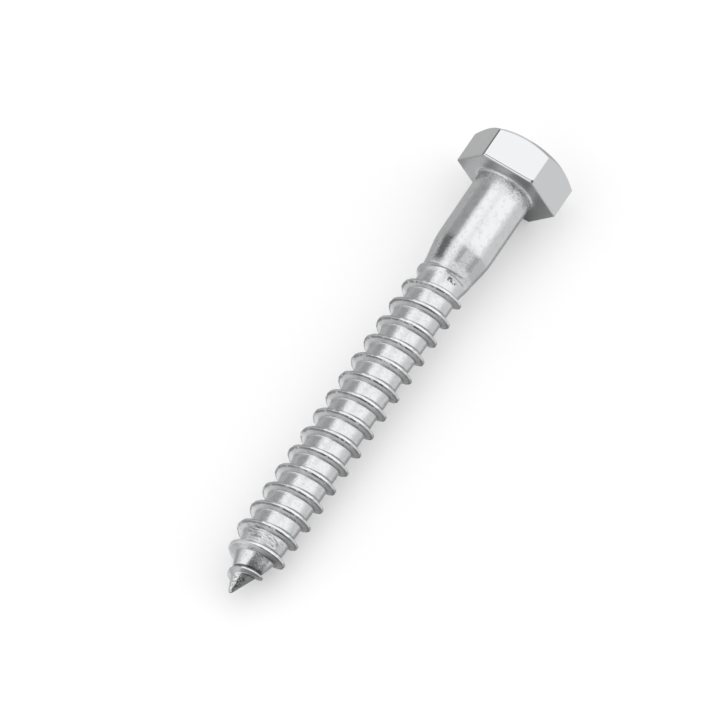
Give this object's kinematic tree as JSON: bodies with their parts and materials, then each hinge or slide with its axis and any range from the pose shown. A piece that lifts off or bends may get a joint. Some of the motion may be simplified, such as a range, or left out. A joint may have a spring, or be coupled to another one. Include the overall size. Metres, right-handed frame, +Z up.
{
  "type": "hex lag screw",
  "caption": "Plated steel lag screw with a hexagonal head, a smooth shank that tapers into a coarse right-hand wood thread, and a sharp cone point, lying on its side.",
  "frame": {"origin": "on the surface that the screw lies on, at the middle of its length and width", "axes": "+X runs from the point towards the head, +Z up; the screw lies on one flat of its head and on a thread crest near the point, so its axis rises 2.2 degrees towards the head"},
  "size_m": [0.081, 0.0164, 0.0145],
  "materials": {
    "plated_steel": "satin"
  },
  "bodies": {
    "root": {"lag_screw": "plated_steel"}
  },
  "joints": []
}
